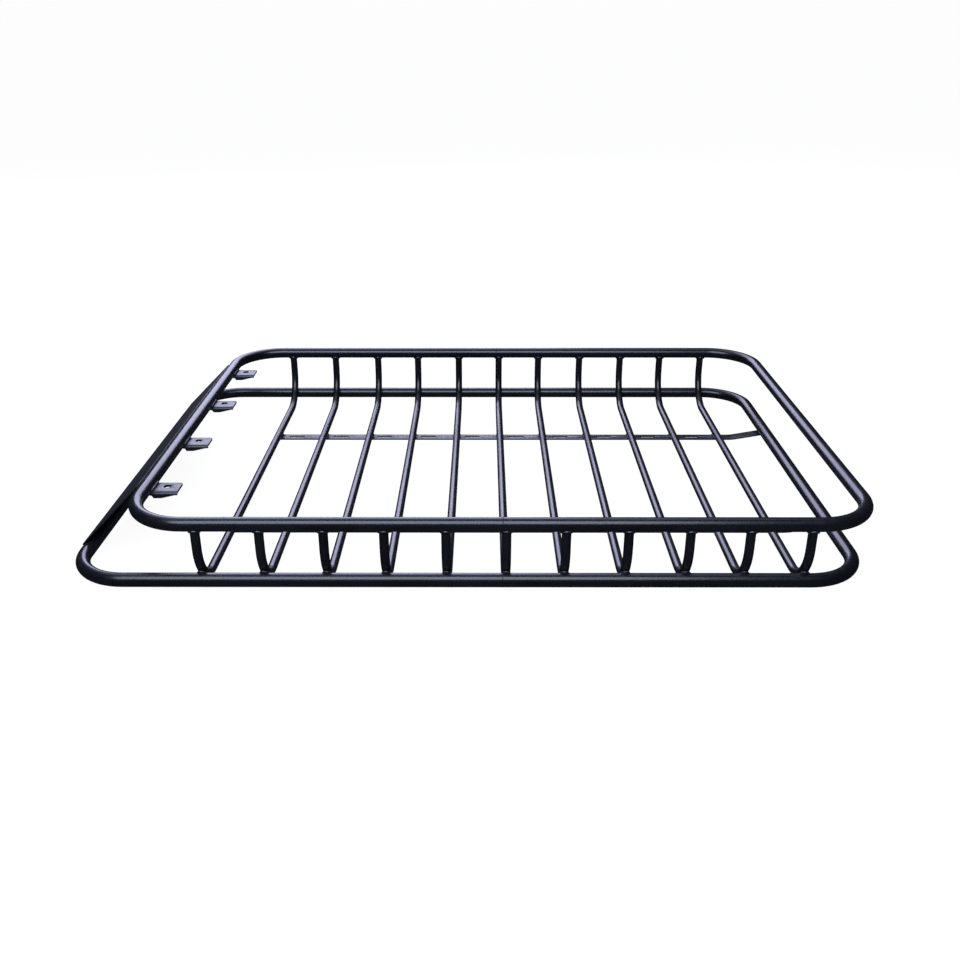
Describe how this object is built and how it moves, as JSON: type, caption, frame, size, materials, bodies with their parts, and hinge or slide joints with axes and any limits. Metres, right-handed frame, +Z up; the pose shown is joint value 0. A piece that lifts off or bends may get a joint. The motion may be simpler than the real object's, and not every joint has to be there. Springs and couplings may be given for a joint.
{
  "type": "roof cargo basket",
  "caption": "Open roof cargo basket of welded bent steel tube: upper and lower rail loops, U-shaped cross rungs, slotted mounting bars underneath, light tabs and a sloping front fairing.",
  "frame": {"origin": "centre of the footprint, on the underside of the slotted mounting bars", "axes": "+X runs to the rear of the basket (the fairing is at the -X end), +Y across the vehicle, +Z up"},
  "size_m": [1.297, 0.9144, 0.1358],
  "materials": {
    "rail_coat": "satin black powder coat",
    "rung_coat": "satin black powder coat",
    "bar_coat": "satin black powder coat",
    "tab_coat": "satin black powder coat",
    "fairing_coat": "matte black powder coat, finely textured"
  },
  "bodies": {
    "root": {"upper_rail_front": "rail_coat", "upper_rail_rear": "rail_coat", "lower_rail_front": "rail_coat", "lower_rail_rear": "rail_coat", "cross_rung_01": "rung_coat", "cross_rung_02": "rung_coat", "cross_rung_03": "rung_coat", "cross_rung_04": "rung_coat", "cross_rung_05": "rung_coat", "cross_rung_06": "rung_coat", "cross_rung_07": "rung_coat", "cross_rung_08": "rung_coat", "cross_rung_09": "rung_coat", "cross_rung_10": "rung_coat", "cross_rung_11": "rung_coat", "mount_bar_near": "bar_coat", "mount_bar_far": "bar_coat", "light_tab_1": "tab_coat", "light_tab_2": "tab_coat", "light_tab_3": "tab_coat", "light_tab_4": "tab_coat", "wind_fairing": "fairing_coat"}
  },
  "joints": []
}
